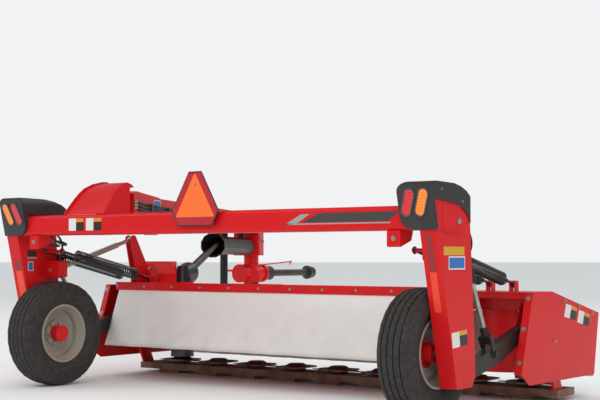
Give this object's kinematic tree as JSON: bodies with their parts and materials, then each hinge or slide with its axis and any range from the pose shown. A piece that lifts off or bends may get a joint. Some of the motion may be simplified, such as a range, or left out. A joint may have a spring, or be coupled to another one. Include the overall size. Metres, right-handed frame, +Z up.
{
  "type": "trailed disc mower",
  "caption": "Wide trailed disc mower with a side-swinging tongue, a crossbeam on two wheels and a floating cutting header behind a white curtain.",
  "frame": {"origin": "on the ground, at the middle of the overall box", "axes": "+X to the right of travel, +Y in the direction of travel, +Z up"},
  "size_m": [5.7798, 5.9642, 1.568],
  "materials": {
    "red_paint": "semi-gloss red paint",
    "black_paint": "satin black paint",
    "black_plastic": "matt moulded plastic",
    "steel": "worn bare steel",
    "zinc": "zinc plated",
    "tyre": "dusty tyre rubber",
    "rim_grey": "light grey paint",
    "amber_lens": "moulded lens",
    "red_lens": "moulded lens",
    "emblem_orange": "fluorescent sheet",
    "canvas": "coated fabric",
    "cutterbar_red": "worn dark red paint"
  },
  "bodies": {
    "carrier": {"crossbeam": "red_paint", "left_leg": "red_paint", "right_leg": "red_paint", "left_axle": "steel", "right_axle": "steel", "left_lamp_pod": "black_plastic", "right_lamp_pod": "black_plastic", "amber_lamps": "amber_lens", "red_lamps": "red_lens", "emblem": "emblem_orange", "pivot_hood": "red_paint"},
    "left_wheel": {"left_tyre": "tyre", "left_rim": "rim_grey"},
    "right_wheel": {"right_tyre": "tyre", "right_rim": "rim_grey"},
    "arms": {"lower_arms": "black_paint"},
    "upper_link": {"upper_link": "zinc"},
    "springs": {"left_springs": "black_paint", "right_springs": "black_paint"},
    "lift_barrels": {"lift_barrels": "black_paint"},
    "lift_rods": {"lift_rods": "zinc"},
    "header": {"header_beam": "red_paint", "hood": "red_paint", "left_end_plate": "red_paint", "right_end_plate": "red_paint", "mast": "red_paint", "rear_curtain": "canvas", "front_curtain": "canvas", "swath_plate": "red_paint", "cutterbar": "cutterbar_red", "header_gearbox": "red_paint"},
    "disc_1": {"disc_1": "steel"},
    "disc_2": {"disc_2": "steel"},
    "disc_3": {"disc_3": "steel"},
    "disc_4": {"disc_4": "steel"},
    "disc_5": {"disc_5": "steel"},
    "disc_6": {"disc_6": "steel"},
    "disc_7": {"disc_7": "steel"},
    "disc_8": {"disc_8": "steel"},
    "disc_9": {"disc_9": "steel"},
    "tongue": {"tongue": "red_paint", "shaft_tunnel": "black_plastic", "shaft_bell": "black_plastic", "jack_tube": "black_paint"},
    "swing_barrel": {"swing_barrel": "black_paint"},
    "swing_rod": {"swing_rod": "steel"},
    "jack_leg": {"jack_leg": "zinc"},
    "hitch": {"hitch": "red_paint", "input_shaft": "black_plastic"},
    "shaft_yoke": {"shaft_yoke": "steel"},
    "shaft_tube": {"shaft_tube": "black_plastic"},
    "shaft_slider": {"shaft_slider": "black_plastic"}
  },
  "joints": [
    {"name": "left_wheel_turn", "type": "hinge", "parent": "carrier", "child": "left_wheel", "pos_m": [-0.75506, -2.58211, 0.4], "axis": [1, 0, 0], "continuous": true},
    {"name": "right_wheel_turn", "type": "hinge", "parent": "carrier", "child": "right_wheel", "pos_m": [2.57494, -2.58211, 0.4], "axis": [1, 0, 0], "continuous": true},
    {"name": "header_lift", "type": "hinge", "parent": "carrier", "child": "arms", "pos_m": [0.90994, -2.45211, 0.26], "axis": [1, 0, 0], "range_deg": [0, 22]},
    {"name": "header_level", "type": "hinge", "parent": "arms", "child": "header", "pos_m": [0.90994, -1.66211, 0.5], "axis": [1, 0, 0], "range_deg": [-22, 0]},
    {"name": "upper_link_turn", "type": "hinge", "parent": "carrier", "child": "upper_link", "pos_m": [-0.77406, -2.53211, 0.892], "axis": [1, 0, 0], "range_deg": [0, 22]},
    {"name": "spring_turn", "type": "hinge", "parent": "carrier", "child": "springs", "pos_m": [0.90994, -2.58211, 1.03], "axis": [1, 0, 0], "range_deg": [0, 16.41], "deforming": ["left_springs", "right_springs"]},
    {"name": "lift_barrel_turn", "type": "hinge", "parent": "carrier", "child": "lift_barrels", "pos_m": [0.90994, -2.47211, 1.1], "axis": [1, 0, 0], "range_deg": [-0.092, 0]},
    {"name": "lift_rod_slide", "type": "slide", "parent": "lift_barrels", "child": "lift_rods", "axis": [0, 0.4482, -0.8939], "range_m": [-0.13842, 0]},
    {"name": "disc_1_turn", "type": "hinge", "parent": "header", "child": "disc_1", "pos_m": [-0.73806, -1.14211, 0.1], "axis": [0, 0, 1], "continuous": true},
    {"name": "disc_2_turn", "type": "hinge", "parent": "header", "child": "disc_2", "pos_m": [-0.32606, -1.14211, 0.1], "axis": [0, 0, 1], "continuous": true},
    {"name": "disc_3_turn", "type": "hinge", "parent": "header", "child": "disc_3", "pos_m": [0.08594, -1.14211, 0.1], "axis": [0, 0, 1], "continuous": true},
    {"name": "disc_4_turn", "type": "hinge", "parent": "header", "child": "disc_4", "pos_m": [0.49794, -1.14211, 0.1], "axis": [0, 0, 1], "continuous": true},
    {"name": "disc_5_turn", "type": "hinge", "parent": "header", "child": "disc_5", "pos_m": [0.90994, -1.14211, 0.1], "axis": [0, 0, 1], "continuous": true},
    {"name": "disc_6_turn", "type": "hinge", "parent": "header", "child": "disc_6", "pos_m": [1.32194, -1.14211, 0.1], "axis": [0, 0, 1], "continuous": true},
    {"name": "disc_7_turn", "type": "hinge", "parent": "header", "child": "disc_7", "pos_m": [1.73394, -1.14211, 0.1], "axis": [0, 0, 1], "continuous": true},
    {"name": "disc_8_turn", "type": "hinge", "parent": "header", "child": "disc_8", "pos_m": [2.14594, -1.14211, 0.1], "axis": [0, 0, 1], "continuous": true},
    {"name": "disc_9_turn", "type": "hinge", "parent": "header", "child": "disc_9", "pos_m": [2.55794, -1.14211, 0.1], "axis": [0, 0, 1], "continuous": true},
    {"name": "tongue_swing", "type": "hinge", "parent": "carrier", "child": "tongue", "pos_m": [-0.12006, -2.55211, 1.35], "axis": [0, 0, -1], "range_deg": [-2, 40]},
    {"name": "swing_barrel_turn", "type": "hinge", "parent": "carrier", "child": "swing_barrel", "pos_m": [0.65994, -2.62711, 1.2], "axis": [0, 0, -1], "range_deg": [-1.06, 21.29]},
    {"name": "swing_rod_slide", "type": "slide", "parent": "swing_barrel", "child": "swing_rod", "axis": [-0.8155, 0.5788, 0], "range_m": [-0.33984, 0.01699]},
    {"name": "jack_slide", "type": "slide", "parent": "tongue", "child": "jack_leg", "axis": [0, 0, 1], "range_m": [0, 0.45]},
    {"name": "hitch_swivel", "type": "hinge", "parent": "tongue", "child": "hitch", "pos_m": [-2.36744, 1.80211, 0.9], "axis": [0, 0, 1], "range_deg": [-60, 45]},
    {"name": "drive_yaw", "type": "hinge", "parent": "header", "child": "shaft_yoke", "pos_m": [-0.73806, -1.14211, 0.845], "axis": [0, 0, -1], "range_deg": [-3.78, 75.66]},
    {"name": "drive_pitch", "type": "hinge", "parent": "shaft_yoke", "child": "shaft_tube", "pos_m": [-0.82746, -0.98588, 0.845], "axis": [0.8679, 0.4967, 0], "range_deg": [-11.55, 0]},
    {"name": "drive_slide", "type": "slide", "parent": "shaft_tube", "child": "shaft_slider", "axis": [-0.4877, 0.8523, 0.189], "range_m": [-0.00582, 0.11645]}
  ],
  "couplings": [
    {"joint": "header_level", "follows": "header_lift", "ratio": -1},
    {"joint": "upper_link_turn", "follows": "header_lift", "ratio": 1},
    {"joint": "spring_turn", "follows": "header_lift", "ratio": 0.7461},
    {"joint": "lift_barrel_turn", "follows": "header_lift", "ratio": -0.00418},
    {"joint": "lift_rod_slide", "follows": "header_lift", "m_per_rad": -0.3605},
    {"joint": "disc_2_turn", "follows": "disc_1_turn", "ratio": -1},
    {"joint": "disc_3_turn", "follows": "disc_1_turn", "ratio": 1},
    {"joint": "disc_4_turn", "follows": "disc_1_turn", "ratio": -1},
    {"joint": "disc_5_turn", "follows": "disc_1_turn", "ratio": 1},
    {"joint": "disc_6_turn", "follows": "disc_1_turn", "ratio": -1},
    {"joint": "disc_7_turn", "follows": "disc_1_turn", "ratio": 1},
    {"joint": "disc_8_turn", "follows": "disc_1_turn", "ratio": -1},
    {"joint": "disc_9_turn", "follows": "disc_1_turn", "ratio": 1},
    {"joint": "swing_barrel_turn", "follows": "tongue_swing", "ratio": 0.53224},
    {"joint": "swing_rod_slide", "follows": "tongue_swing", "m_per_rad": -0.48678},
    {"joint": "drive_yaw", "follows": "tongue_swing", "ratio": 1.8915},
    {"joint": "drive_pitch", "follows": "header_lift", "ratio": -0.5248},
    {"joint": "drive_slide", "follows": "tongue_swing", "m_per_rad": 0.1668}
  ]
}
